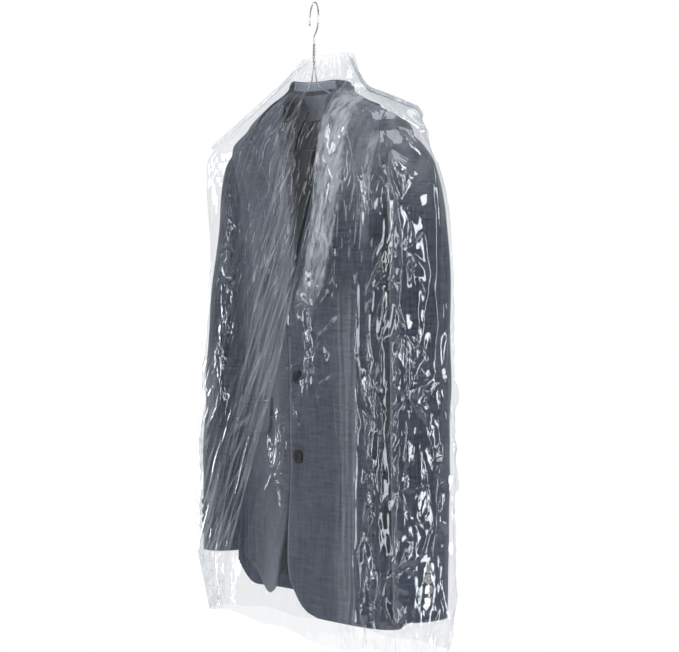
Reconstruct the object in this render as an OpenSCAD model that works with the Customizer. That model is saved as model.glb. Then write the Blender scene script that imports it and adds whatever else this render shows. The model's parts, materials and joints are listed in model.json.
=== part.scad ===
// Clear film garment bag over a two-button suit jacket on a wire hanger.
// The origin is the hook's seat on the rail, +Z is up, the garment's front faces -Y.
// Left and right are the wearer's, so the left half is at +X.

/* [Hanger] */
// Diameter of the hanger wire
wire_d = 2.3; // [1.8:0.1:3]
// Inner radius of the hook
hook_r = 23.5; // [21:0.5:25]
// Radius of the small bend under the hook
hook_bend_r = 8; // [6:1:10]
// Turn of the hook's plane about the shank
hook_turn = -21.5; // [-30:0.5:0]
// Overall width of the hanger
hanger_w = 406; // [380:1:406]
// Slope of the shoulder wires below the level
hanger_slope = 23; // [20:1:25]
// Length of the twisted neck
twist_len = 34; // [24:1:40]

/* [Jacket] */
// Length of the jacket below the neck ring
jacket_len = 777; // [740:1:790]
// Cloth thickness with its interlining
cloth_t = 2.5; // [2:0.1:3]
// Where the left front edge closes over the right front
closing_x = 3; // [-5:1:10]
// Level where the lapels start to roll
break_z = -510; // [-540:5:-480]
// Level of the cuff of the left sleeve
left_cuff_z = -897; // [-905:1:-840]
// Level of the cuff of the right sleeve
right_cuff_z = -852; // [-905:1:-840]
// Diameter of a front button
button_d = 20; // [18:1:23]
// Distance between the front buttons
button_gap = 118; // [100:1:125]
// Diameter of a cuff button
cuff_button_d = 14; // [12:1:15]

/* [Bag] */
// Level of the hem of the bag
bag_hem_z = -945; // [-990:1:-930]
// Level of the neck opening of the bag
bag_neck_z = -85; // [-90:1:-80]
// Height of the heat-sealed strip on each shoulder
seal_h = 5; // [3:1:8]
// Wall that stands for the film
film_t = 0.5; // [0.4:0.1:0.8]

/* [Hidden] */
$fn = 32;

// Hook and hanger geometry
wire_r = wire_d / 2;
hook_mid_r = hook_r + wire_r;
hook_lead = acos(hook_bend_r / (hook_mid_r + hook_bend_r));
shank_top_z = -hook_r - (hook_mid_r + hook_bend_r) * sin(hook_lead);
twist_top_z = shank_top_z - 5;
twist_z = twist_top_z - twist_len;
hook_tip_angle = 195;
pair_gap = 0.1;
twist_turns = 3.5;
neck_spread = 12;
neck_bend_r = 15;
neck_leg = 17;
shoulder_bend_r = 25;
corner_r = 8;
arm_x0 = wire_r + pair_gap;
arm_fixed_x = arm_x0 + neck_bend_r * (1 - cos(neck_spread)) + neck_leg * sin(neck_spread)
    + shoulder_bend_r * (cos(neck_spread) - sin(hanger_slope)) + corner_r * (1 - sin(hanger_slope)) + wire_r;
arm_run = (hanger_w / 2 - arm_fixed_x) / cos(hanger_slope);
arm_drop = neck_bend_r * sin(neck_spread) + neck_leg * cos(neck_spread)
    + shoulder_bend_r * (cos(hanger_slope) - sin(neck_spread)) + arm_run * sin(hanger_slope)
    + corner_r * (1 + cos(hanger_slope));
bar_z = twist_z - arm_drop;
bar_half = hanger_w / 2 - wire_r - corner_r;

// Body of the jacket: level against half width, front depth and back depth
neck_z = -128;
hem_z = neck_z - jacket_len;
body_n = 3;
body_w = [
    [hem_z, 214], [-700, 212], [-262, 214], [-225, 226], [-203, 222], [-180, 172], [-150, 112], [neck_z, 66]
];
body_front = [
    [hem_z, 45], [-700, 46], [-560, 47], [-430, 54], [-262, 54], [-203, 46], [-150, 46], [neck_z, 42]
];
body_back = [
    [hem_z, 44], [-700, 46], [-560, 47], [-430, 51], [-262, 50], [-203, 46], [-150, 46], [neck_z, 44]
];
roof = [[-225, 0], [-203, 1]];
body_rows = [
    neck_z, -150, -180, -203, -225, -262, -330, -430, break_z, -560, -620, -700, -760, -810, -850, -880, hem_z
];
armhole_z = -430;
side_front = [[armhole_z, 62], [-262, 68], [-225, 84], [-203, 90]];
side_back = [[armhole_z, 112], [-262, 108], [-225, 96], [-203, 90]];

// Front edges: level against X
left_edge = [
    [hem_z, 78], [-880, 40], [-850, 24], [-810, 12], [-760, closing_x],
    [break_z, closing_x], [neck_z, 60]
];
right_edge = [
    [hem_z, -72], [-880, -34], [-850, -18], [-810, -6], [-760, closing_x],
    [break_z, closing_x], [neck_z, -60]
];
overlay = 1.5;
overlay_t = 2;

// Sleeves: level against centre, half thickness and half depth
sleeve_n = 2.3;
sleeve_x = [[-905, 249], [-430, 248], [-330, 242], [-262, 238], [-225, 235], [-206, 237]];
sleeve_rx = [[-905, 27], [-700, 31], [-430, 32], [-262, 29], [-225, 19], [-206, 4]];
sleeve_ry = [[-905, 42], [-430, 47], [-262, 44], [-225, 34], [-206, 12]];
sleeve_y = -3;
right_sleeve_depth = 0.82;
lining_gap = 2.2;
lining_t = 1;

// Bag: level against the left and right extents and the front and back depths
bag_n = 5;
bag_x_low = [[-222, -288], [-203, -277], [-175, -230], [-140, -152], [-113, -86], [bag_neck_z, -32]];
bag_x_high = [
    [-380, 290], [-289, 287], [-249, 281], [-215, 268], [-188, 244],
    [-163, 180], [-147, 138], [-113, 100], [bag_neck_z, 78]
];
bag_front_y = [[-190, 66], [-150, 62], [-128, 58], [-113, 53], [-100, 40], [bag_neck_z, 15]];
bag_back_y = [[-190, 58], [-150, 57], [-113, 52], [-100, 40], [bag_neck_z, 15]];
bag_rows = [
    bag_neck_z, -100, -113, -128, -150, -175, -190, -203, -212, -222, -249, -289, -380, -560, -750, bag_hem_z
];
gusset_z = -212;
gusset_front = [[-289, 45], [-222, 78], [gusset_z, 88], [-203, 90]];

cloth = "slategray";
lining_colour = "#2A2B30";
button_colour = "#2B211C";
film_colour = "#D8DEE2";

// Points on a rounded section: angle 0 is the front, 90 is +X
function squareness(a, n) = pow(pow(abs(sin(a)), n) + pow(abs(cos(a)), n), -1 / n);
function section(a, w, front, back, n) = [
    w * sin(a) * squareness(a, n),
    -(cos(a) > 0 ? front : back) * cos(a) * squareness(a, n)
];
function angle_at(x, w, n) = atan2(x / w, pow(1 - pow(abs(x / w), n), 1 / n));

// Surfaces: angle, level and distance outside the surface
body_at = function (a, z, off)
    let (
        front = lookup(z, body_front) + off,
        back = lookup(z, body_back) + off,
        p = section(a, lookup(z, body_w) + off, front, back, body_n)
    )
    [p.x, p.y, z + off * lookup(z, roof)];
sleeve_at = function (a, z, off, depth)
    let (
        ry = lookup(z, sleeve_ry) * (1 - (1 - depth) * lookup(z, [[armhole_z, 1], [-262, 0]])),
        p = section(a, max(lookup(z, sleeve_rx) + off, 1), max(ry + off, 1), max(ry + off, 1), sleeve_n)
    )
    [p.x + lookup(z, sleeve_x), p.y + sleeve_y, z];
bag_at = function (a, z, off)
    let (
        low = lookup(z, bag_x_low),
        high = lookup(z, bag_x_high),
        front = lookup(z, bag_front_y) + off,
        back = lookup(z, bag_back_y) + off,
        p = section(a, (high - low) / 2 + off, front, back, bag_n)
    )
    [p.x + (high + low) / 2, p.y, z];
function body_angle(x, z) = angle_at(x, lookup(z, body_w), body_n);
function rows_from(rows, top, bottom) = [for (z = rows) if (z <= top && z >= bottom) z];
function steps(from, to, count) = [for (i = [0:count]) from + (to - from) * i / count];

// A sheet between two grids of points, split along the same diagonals everywhere
function grid_faces(rows, cols, size, closed) = let (wrap = closed ? cols : cols + 1) concat(
    [for (r = [0:rows - 1], c = [0:cols - 1]) let (d = (c + 1) % wrap)
        each [
            [r * wrap + c, r * wrap + d, (r + 1) * wrap + d],
            [r * wrap + c, (r + 1) * wrap + d, (r + 1) * wrap + c],
            [size + (r + 1) * wrap + d, size + r * wrap + d, size + r * wrap + c],
            [size + (r + 1) * wrap + c, size + (r + 1) * wrap + d, size + r * wrap + c]
        ]],
    [for (c = [0:cols - 1]) let (d = (c + 1) % wrap, end = rows * wrap)
        each [
            [size + c, size + d, d], [size + c, d, c],
            [end + c, end + d, size + end + d], [end + c, size + end + d, size + end + c]
        ]],
    closed ? [] : [for (r = [0:rows - 1]) let (a = r * wrap, b = (r + 1) * wrap)
        each [
            [a, b, size + b], [a, size + b, size + a],
            [b + cols, a + cols, size + b + cols], [a + cols, size + a + cols, size + b + cols]
        ]]
);

module sheet(outer, inner, closed = false) {
    rows = len(outer) - 1;
    cols = closed ? len(outer[0]) : len(outer[0]) - 1;
    size = len(outer) * len(outer[0]);
    points = concat([for (row = outer) each row], [for (row = inner) each row]);
    polyhedron(points, grid_faces(rows, cols, size, closed), convexity = 6);
}

// A patch of a skin between two edges that are functions of the level
module patch(skin, rows, low, high, cols, out, inside) {
    sheet(
        [for (z = rows) [for (a = steps(low(z), high(z), cols)) skin(a, z, out)]],
        [for (z = rows) [for (a = steps(low(z), high(z), cols)) skin(a, z, inside)]]
    );
}

// Wire that starts along +X: each step goes straight or turns left (positive) or right
module wire(path, i = 0) {
    if (i < len(path)) {
        run = path[i][0];
        turn = path[i][1];
        if (turn == 0) {
            rotate([0, 90, 0]) cylinder(d = wire_d, h = run);
            translate([run, 0, 0]) wire(path, i + 1);
        } else {
            side = sign(turn);
            mirror([0, side > 0 ? 0 : 1, 0]) translate([0, run, 0]) rotate(-90)
                rotate_extrude(angle = abs(turn)) translate([run, 0]) circle(d = wire_d);
            translate([0, side * run, 0]) rotate(turn) translate([0, -side * run, 0]) wire(path, i + 1);
        }
    }
}

module hanger_hook() {
    color("silver") rotate(hook_turn) translate([0, 0, twist_top_z]) rotate([90, 0, 0]) rotate(90) wire([
        [shank_top_z - twist_top_z, 0],
        [hook_bend_r, -hook_lead],
        [hook_mid_r, hook_tip_angle + hook_lead]
    ]);
}

module hanger_neck_twist() {
    color("silver") translate([0, 0, twist_z])
        linear_extrude(height = twist_len, twist = -360 * twist_turns, slices = 49, convexity = 4)
            for (side = [-1, 1]) translate([side * (wire_r - pair_gap), 0]) circle(d = wire_d, $fn = 13);
}

module hanger_arm() {
    color("silver") translate([arm_x0, 0, twist_z]) rotate([90, 0, 0]) rotate(-90) wire([
        [neck_bend_r, neck_spread],
        [neck_leg, 0],
        [shoulder_bend_r, 90 - neck_spread - hanger_slope],
        [arm_run, 0],
        [corner_r, hanger_slope - 180]
    ]);
}

module hanger_left_arm() { hanger_arm(); }

module hanger_right_arm() { mirror([1, 0, 0]) hanger_arm(); }

module hanger_bar() {
    color("silver") translate([-bar_half, 0, bar_z]) rotate([0, 90, 0])
        cylinder(d = wire_d, h = 2 * bar_half);
}

module left_front() {
    color(cloth) patch(body_at, body_rows, function (z) body_angle(lookup(z, left_edge), z),
        function (z) lookup(z, side_front), 9, 0, -cloth_t);
}

module right_front() {
    color(cloth) patch(body_at, body_rows, function (z) -lookup(z, side_front),
        function (z) body_angle(lookup(z, right_edge), z), 9, 0, -cloth_t);
}

module side_panel() {
    color(cloth) patch(body_at, rows_from(body_rows, armhole_z, hem_z), function (z) lookup(z, side_front),
        function (z) lookup(z, side_back), 5, 0, -cloth_t);
}

module left_side_panel() { side_panel(); }

module right_side_panel() { mirror([1, 0, 0]) side_panel(); }

module back_half() {
    color(cloth) patch(body_at, body_rows, function (z) lookup(z, side_back), function (z) 180,
        7, 0, -cloth_t);
}

module left_back() { back_half(); }

module right_back() { mirror([1, 0, 0]) back_half(); }

// Lapels and pocket flaps lie a little outside the fronts
lapel_rows = [-200, -215, -262, -330, -430, break_z + 12];
lapel_w = [[break_z, 4], [-430, 46], [-330, 74], [-215, 86], [-200, 60]];

module lapel(edge, side) {
    color(cloth) patch(body_at, lapel_rows,
        function (z) body_angle(side > 0 ? lookup(z, edge) : lookup(z, edge) - lookup(z, lapel_w), z),
        function (z) body_angle(side > 0 ? lookup(z, edge) + lookup(z, lapel_w) : lookup(z, edge), z),
        5, overlay + overlay_t, overlay);
}

module left_lapel() { lapel(left_edge, 1); }

module right_lapel() { lapel(right_edge, -1); }

// Collar: the stand rises from the neck ring, the fall turns over it and lies on the shoulders
stand_h = 14;
stand_front = 62;
stand_w = 64;
stand_front_y = 41;
stand_back_y = 42;
stand_lean = 2;
stand_gap = 0.3;
fall_edge = [[0, -172], [60, -166], [90, -150], [130, -176], [146, -186]];
fall_front = [[0, 118], [1, 146]];
fall_rows = 5;
fall_cols = 20;
stand_at = function (a, z, off)
    let (
        grow = off - stand_lean * (z - neck_z) / stand_h,
        p = section(a, stand_w + grow, stand_front_y + grow, stand_back_y + grow, body_n)
    )
    [p.x, p.y, z];

module collar_stand() {
    color(cloth) patch(stand_at, [neck_z + stand_h, neck_z + stand_gap], function (z) stand_front,
        function (z) 360 - stand_front, 16, 0, -overlay_t);
}

function fall_point(i, k, out) = k < 0
    ? stand_at(180 + fall_front[0][1] * i, neck_z + stand_h, out + 1)
    : let (a = lookup(k, fall_front) * i, z = neck_z + (lookup(abs(a), fall_edge) - neck_z) * k)
        body_at(180 + a, z, overlay + out);

module collar_fall() {
    levels = concat([-1], steps(0, 1, fall_rows - 1));
    color(cloth) sheet(
        [for (k = levels) [for (i = steps(-1, 1, fall_cols)) fall_point(i, k, overlay_t)]],
        [for (k = levels) [for (i = steps(-1, 1, fall_cols)) fall_point(i, k, 0)]]
    );
}

// Sleeves of two pieces: the upper one faces out, the under one faces the body
sleeve_rows = [-206, -214, -225, -243, -262, -300, -360, armhole_z, -560, -700, -800];
sleeve_wrap = [[armhole_z, 20], [-360, 50], [-206, 50]];
under_from = 200;
under_to = 340;
sleeve_lining_up = 14;
round_steps = [0:20:340];
function sleeve_levels(cuff, top) = concat([for (z = sleeve_rows) if (z <= top && z > cuff) z], [cuff]);

module upper_sleeve(cuff, depth) {
    color(cloth) patch(function (a, z, off) sleeve_at(a, z, off, depth), sleeve_levels(cuff, 0),
        function (z) -lookup(z, sleeve_wrap), function (z) 180 + lookup(z, sleeve_wrap), 14, 0, -cloth_t);
}

module under_sleeve(cuff, depth) {
    color(cloth) patch(function (a, z, off) sleeve_at(a, z, off, depth), sleeve_levels(cuff, armhole_z),
        function (z) under_from, function (z) under_to, 8, 0, -cloth_t);
}

module sleeve_lining(cuff, depth) {
    rows = sleeve_levels(cuff + sleeve_lining_up, armhole_z);
    outside = -cloth_t - lining_gap;
    color(lining_colour) sheet(
        [for (z = rows) [for (a = round_steps) sleeve_at(a, z, outside, depth)]],
        [for (z = rows) [for (a = round_steps) sleeve_at(a, z, outside - lining_t, depth)]],
        closed = true
    );
}

module left_upper_sleeve() { upper_sleeve(left_cuff_z, 1); }

module left_under_sleeve() { under_sleeve(left_cuff_z, 1); }

module right_upper_sleeve() { mirror([1, 0, 0]) upper_sleeve(right_cuff_z, right_sleeve_depth); }

module right_under_sleeve() { mirror([1, 0, 0]) under_sleeve(right_cuff_z, right_sleeve_depth); }

module left_sleeve_lining() { sleeve_lining(left_cuff_z, 1); }

module right_sleeve_lining() { mirror([1, 0, 0]) sleeve_lining(right_cuff_z, right_sleeve_depth); }

// A pad lies under each shoulder, between the cloth and the wire
pad_rows = [-163, -172, -180, -190, -198];
pad_reach = 50;
pad_t = 6;
pad_gap = 1.2;

module shoulder_pad() {
    color("#3A3C42") patch(body_at, pad_rows, function (z) 90 - pad_reach, function (z) 90 + pad_reach,
        8, -cloth_t - pad_gap, -cloth_t - pad_gap - pad_t);
}

module left_shoulder_pad() { shoulder_pad(); }

module right_shoulder_pad() { mirror([1, 0, 0]) shoulder_pad(); }

flap_rows = [-612, -630, -655];
flap_x = [108, 200];

module pocket_flap() {
    color(cloth) patch(body_at, flap_rows, function (z) body_angle(flap_x[0], z),
        function (z) body_angle(flap_x[1], z), 7, overlay + overlay_t, overlay);
}

module left_pocket_flap() { pocket_flap(); }

module right_pocket_flap() { mirror([1, 0, 0]) pocket_flap(); }

welt_rows = [-352, -376];
welt_x = [102, 188];

module chest_welt() {
    color(cloth) patch(body_at, welt_rows, function (z) body_angle(welt_x[0], z),
        function (z) body_angle(welt_x[1], z), 6, overlay + overlay_t, overlay);
}

// Buttons
button_x = 25;
button_z = -565;
button_t = 4;
button_hole_d = 2;
button_stand = 0.4;
dish_d = 0.66;
dish_floor = 0.7;
hole_ring = 0.13;
cuff_button_t = 2.6;
cuff_hole_d = 1.4;
cuff_button_angle = 76;
cuff_button_up = 30;
cuff_button_space = 1;
cuff_button_stand = 1;

module button(d, t, hole_d) {
    difference() {
        cylinder(d = d, h = t);
        translate([0, 0, t * dish_floor]) cylinder(d = d * dish_d, h = t);
        for (a = [45:90:315]) rotate(a) translate([d * hole_ring, 0, -1]) cylinder(d = hole_d, h = t + 2);
    }
}

module front_buttons() {
    color(button_colour) for (i = [0:1]) {
        z = button_z - i * button_gap;
        p = body_at(body_angle(button_x, z), z, button_stand);
        translate(p) rotate([90, 0, 0]) button(button_d, button_t, button_hole_d);
    }
}

module cuff_buttons(cuff, depth) {
    color(button_colour) for (i = [0:3]) {
        z = cuff + cuff_button_up + i * (cuff_button_d + cuff_button_space);
        p = sleeve_at(cuff_button_angle, z, cuff_button_stand, depth);
        translate(p) rotate(cuff_button_angle - 90) rotate([0, 90, 0])
            button(cuff_button_d, cuff_button_t, cuff_hole_d);
    }
}

module left_cuff_buttons() { cuff_buttons(left_cuff_z, 1); }

module right_cuff_buttons() { mirror([1, 0, 0]) cuff_buttons(right_cuff_z, right_sleeve_depth); }

// Linings hang just inside the cloth and end above the hem
lining_hem_z = -880;
lining_top_z = -225;
lining_rows = rows_from(body_rows, lining_top_z, lining_hem_z);
lining_out = -cloth_t - lining_gap;

module body_lining(low, high, cols) {
    color(lining_colour) patch(body_at, lining_rows, low, high, cols, lining_out, lining_out - lining_t);
}

module left_body_lining() {
    body_lining(function (z) body_angle(lookup(z, left_edge) + 2, z), function (z) lookup(z, side_front), 8);
}

module right_body_lining() {
    body_lining(function (z) -lookup(z, side_front),
        function (z) body_angle(lookup(z, right_edge) - 2, z), 8);
}

module back_body_lining() {
    body_lining(function (z) lookup(z, side_back), function (z) 360 - lookup(z, side_back), 14);
}

facing_edge = [[-203, 160], [-150, 148], [neck_z, 112]];

module back_neck_facing() {
    color(cloth) patch(body_at, [neck_z - 2, -150, -180, -203], function (z) lookup(z, facing_edge),
        function (z) 360 - lookup(z, facing_edge), 10, lining_out, lining_out - lining_t);
}

// Film panels
module bag_front() {
    color(film_colour, 0.4) patch(bag_at, bag_rows, function (z) -lookup(z, gusset_front),
        function (z) lookup(z, gusset_front), 16, 0, -film_t);
}

module bag_back() {
    color(film_colour, 0.4) patch(bag_at, bag_rows, function (z) 180 - lookup(z, gusset_front),
        function (z) 180 + lookup(z, gusset_front), 16, 0, -film_t);
}

module gusset(middle) {
    color(film_colour, 0.4) patch(bag_at, rows_from(bag_rows, gusset_z, bag_hem_z),
        function (z) middle - 90 + lookup(z, gusset_front),
        function (z) middle + 90 - lookup(z, gusset_front),
        8, 0, -film_t);
}

module bag_left_gusset() { gusset(90); }

module bag_right_gusset() { gusset(270); }

// The heat seal stands as a thin fin along the top of each shoulder
module seal(edge, side) {
    rows = rows_from(bag_rows, bag_neck_z, -190);
    lift = 0.1;
    color(film_colour, 0.4) rotate([90, 0, 0]) translate([0, 0, -film_t / 2]) linear_extrude(film_t)
        polygon(concat(
            [for (z = rows) [lookup(z, edge) + side * lift, z + lift]],
            [for (i = [len(rows) - 1:-1:0]) [lookup(rows[i], edge) + side * seal_h / 2, rows[i] + seal_h]]
        ));
}

module bag_left_seal() { seal(bag_x_high, 1); }

module bag_right_seal() { seal(bag_x_low, -1); }

hanger_hook();
hanger_neck_twist();
hanger_left_arm();
hanger_right_arm();
hanger_bar();
left_front();
right_front();
left_side_panel();
right_side_panel();
left_back();
right_back();
left_lapel();
right_lapel();
collar_fall();
collar_stand();
left_upper_sleeve();
left_under_sleeve();
right_upper_sleeve();
right_under_sleeve();
left_sleeve_lining();
right_sleeve_lining();
left_shoulder_pad();
right_shoulder_pad();
left_pocket_flap();
right_pocket_flap();
chest_welt();
front_buttons();
left_cuff_buttons();
right_cuff_buttons();
left_body_lining();
right_body_lining();
back_body_lining();
back_neck_facing();
bag_front();
bag_back();
bag_left_gusset();
bag_right_gusset();
bag_left_seal();
bag_right_seal();
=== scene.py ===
"""A clear film garment bag over a two-button suit jacket on a wire hanger.

The hanger and the buttons are the CAD nodes with new materials. The cloth and the film are built
here as fine sheets around the same levels. Left and right are the wearer's, so left is +X.
"""
import json
import math

import bpy
import numpy as np
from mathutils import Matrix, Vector

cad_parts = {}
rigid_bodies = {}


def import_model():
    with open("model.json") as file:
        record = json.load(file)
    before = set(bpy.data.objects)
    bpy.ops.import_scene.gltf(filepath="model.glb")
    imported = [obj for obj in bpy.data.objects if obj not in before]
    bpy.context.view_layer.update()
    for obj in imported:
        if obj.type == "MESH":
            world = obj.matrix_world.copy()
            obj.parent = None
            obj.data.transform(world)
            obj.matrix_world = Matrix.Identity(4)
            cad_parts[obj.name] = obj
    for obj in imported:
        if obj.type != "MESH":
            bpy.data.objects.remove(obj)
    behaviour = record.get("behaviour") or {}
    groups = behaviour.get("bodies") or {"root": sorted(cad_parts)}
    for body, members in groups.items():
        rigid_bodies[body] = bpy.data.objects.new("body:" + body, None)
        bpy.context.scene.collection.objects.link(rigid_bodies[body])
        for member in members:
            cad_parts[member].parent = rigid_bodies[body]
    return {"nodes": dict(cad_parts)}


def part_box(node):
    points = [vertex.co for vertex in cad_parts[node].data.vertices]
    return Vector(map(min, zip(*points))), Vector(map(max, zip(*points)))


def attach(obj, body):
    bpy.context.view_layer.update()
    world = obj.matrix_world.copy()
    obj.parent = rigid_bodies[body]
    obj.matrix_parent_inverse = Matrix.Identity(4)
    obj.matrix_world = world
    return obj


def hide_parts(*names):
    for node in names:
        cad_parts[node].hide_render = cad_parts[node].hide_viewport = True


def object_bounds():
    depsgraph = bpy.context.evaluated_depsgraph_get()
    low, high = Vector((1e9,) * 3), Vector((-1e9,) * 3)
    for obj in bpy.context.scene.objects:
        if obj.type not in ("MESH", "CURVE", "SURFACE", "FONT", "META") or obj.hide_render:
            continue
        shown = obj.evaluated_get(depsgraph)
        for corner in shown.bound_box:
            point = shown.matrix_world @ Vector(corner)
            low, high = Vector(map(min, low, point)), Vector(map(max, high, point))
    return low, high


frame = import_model()
cad_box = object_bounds()

# ---------------------------------------------------------------- levels and sizes
# From the frame
LEFT_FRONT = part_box("left_front")
NECK_Z = LEFT_FRONT[1][2]
HEM_Z = LEFT_FRONT[0][2]
LEFT_CUFF_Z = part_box("left_upper_sleeve")[0][2]
RIGHT_CUFF_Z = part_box("right_upper_sleeve")[0][2]
BAG_NECK_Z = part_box("bag_front")[1][2]
BAG_HEM_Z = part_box("bag_front")[0][2]
# Where the lapels start to roll, the foot of the armhole, the chest and the shoulder's outer end
BREAK_Z = -0.505
ARMHOLE_Z = -0.430
CHEST_Z = -0.262
SHOULDER_Z = -0.203
# Where the two fronts meet, and the thickness that the cloth is drawn with
CLOSING_X = 0.003
CLOTH_T = 0.0022
TAU = 2 * math.pi
# The lean of the fine folds over the right front, from upper left of the body down to the right hem
SLANT = math.radians(28)


# ---------------------------------------------------------------- camera, lights and floor
def make_camera():
    """The photograph's view: level, from the front and the wearer's left."""
    azimuth = math.radians(52)
    distance = 2.49
    side_step = 0.0386
    height = (cad_box[0][2] + cad_box[1][2]) / 2 - 0.0175
    camera = bpy.data.cameras.new("camera")
    camera.lens = 87.1
    camera.sensor_width = 36
    ob = bpy.data.objects.new("camera", camera)
    right = Vector((math.cos(azimuth), math.sin(azimuth), 0))
    back = Vector((math.sin(azimuth), -math.cos(azimuth), 0))
    ob.location = back * distance + right * side_step + Vector((0, 0, height))
    ob.rotation_euler = (math.pi / 2, 0, azimuth)
    bpy.context.collection.objects.link(ob)
    bpy.context.scene.camera = ob


def make_light(name, size, power, place, diffuse=True, glossy=True, aim=(0, 0, -0.48)):
    light = bpy.data.lights.new(name, "AREA")
    light.shape = "RECTANGLE"
    light.size, light.size_y = size
    light.energy = power
    ob = bpy.data.objects.new(name, light)
    ob.location = place
    ob.rotation_euler = (Vector(aim) - Vector(place)).to_track_quat("-Z", "Y").to_euler()
    ob.visible_diffuse = diffuse
    ob.visible_glossy = glossy
    bpy.context.collection.objects.link(ob)


def make_lights():
    """Wide soft lights for the cloth, and strips that only the film and the metal mirror."""
    make_light("front_soft", (1.2, 1.5), 15, (-0.2, -2.6, 0.5), glossy=False)
    make_light("side_soft", (1.2, 1.5), 18, (2.5, -0.2, 0.3), glossy=False)
    make_light("floor_wash", (6.0, 6.0), 100, (0, 0, -1.3), glossy=False, aim=(0, 0, -2.0))
    make_light("top", (1.6, 0.8), 16, (0.3, -0.5, 1.7))
    make_light("rear_strip", (0.4, 1.8), 16, (-1.6, 2.0, 0.2))
    make_light("lapel_panel", (0.26, 1.3), 3.6, (-1.98, -1.54, 0.25), diffuse=False)
    make_light("brow_panel", (1.4, 0.8), 2.5, (-1.3, -1.5, 1.5), diffuse=False)
    make_light("front_strip", (0.50, 2.8), 40, (-0.70, -2.50, -0.45), diffuse=False)
    make_light("key_strip", (0.50, 2.4), 56, (0.75, -2.5, 0.0), diffuse=False)
    make_light("side_strip", (0.70, 2.5), 82, (2.35, 0.75, -0.35), diffuse=False)
    make_light("far_strip", (0.50, 0.8), 15, (-2.45, 0.05, -0.80), diffuse=False)
    world = bpy.data.worlds.new("studio")
    world.use_nodes = True
    tree = world.node_tree
    ground = tree.nodes["Background"]
    ground.inputs["Color"].default_value = (0.93, 0.96, 1, 1)
    way = tree.nodes.new("ShaderNodeTexCoord")
    dim = tree.nodes.new("ShaderNodeVectorMath")
    dim.operation = "DOT_PRODUCT"
    dim.inputs[1].default_value = (0.79, -0.61, 0)
    gap = tree.nodes.new("ShaderNodeMapRange")
    gap.interpolation_type = "SMOOTHSTEP"
    gap.inputs["From Min"].default_value = -0.85
    gap.inputs["From Max"].default_value = 0.35
    gap.inputs["To Min"].default_value = 0.64
    gap.inputs["To Max"].default_value = 0.16
    tree.links.new(way.outputs["Generated"], dim.inputs[0])
    tree.links.new(dim.outputs["Value"], gap.inputs["Value"])
    tree.links.new(gap.outputs["Result"], ground.inputs["Strength"])
    sweep = tree.nodes.new("ShaderNodeBackground")
    sweep.inputs["Color"].default_value = (1, 1, 1, 1)
    sweep.inputs["Strength"].default_value = 1.0
    ray = tree.nodes.new("ShaderNodeLightPath")
    mix = tree.nodes.new("ShaderNodeMixShader")
    tree.links.new(ray.outputs["Is Camera Ray"], mix.inputs[0])
    tree.links.new(ground.outputs[0], mix.inputs[1])
    tree.links.new(sweep.outputs[0], mix.inputs[2])
    tree.links.new(mix.outputs[0], tree.nodes["World Output"].inputs["Surface"])
    bpy.context.scene.world = world
    bpy.context.scene.view_settings.view_transform = "Standard"


def make_floor():
    """A pale round floor well below the hanging bag."""
    floor_z = -2.0
    rings = [(radius, floor_z) for radius in (0.0, 0.9, 1.7, 2.2, 2.5)]
    turns = 96
    angles = [TAU * k / turns for k in range(turns)]
    verts = [(r * math.cos(a), r * math.sin(a), z) for r, z in rings for a in angles]
    faces = []
    for i in range(len(rings) - 1):
        for k in range(turns):
            m = (k + 1) % turns
            faces.append((i * turns + k, i * turns + m, (i + 1) * turns + m, (i + 1) * turns + k))
    mesh = bpy.data.meshes.new("studio_floor")
    mesh.from_pydata(verts, [], faces)
    ob = bpy.data.objects.new("studio_floor", mesh)
    bpy.context.collection.objects.link(ob)
    mesh.materials.append(plain_material("floor_white", (0.93, 0.93, 0.93), 0.9))


# ---------------------------------------------------------------- materials
def plain_material(name, colour, roughness):
    mat = bpy.data.materials.new(name)
    mat.use_nodes = True
    shader = mat.node_tree.nodes["Principled BSDF"]
    shader.inputs["Base Color"].default_value = (*colour, 1)
    shader.inputs["Roughness"].default_value = roughness
    return mat


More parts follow.
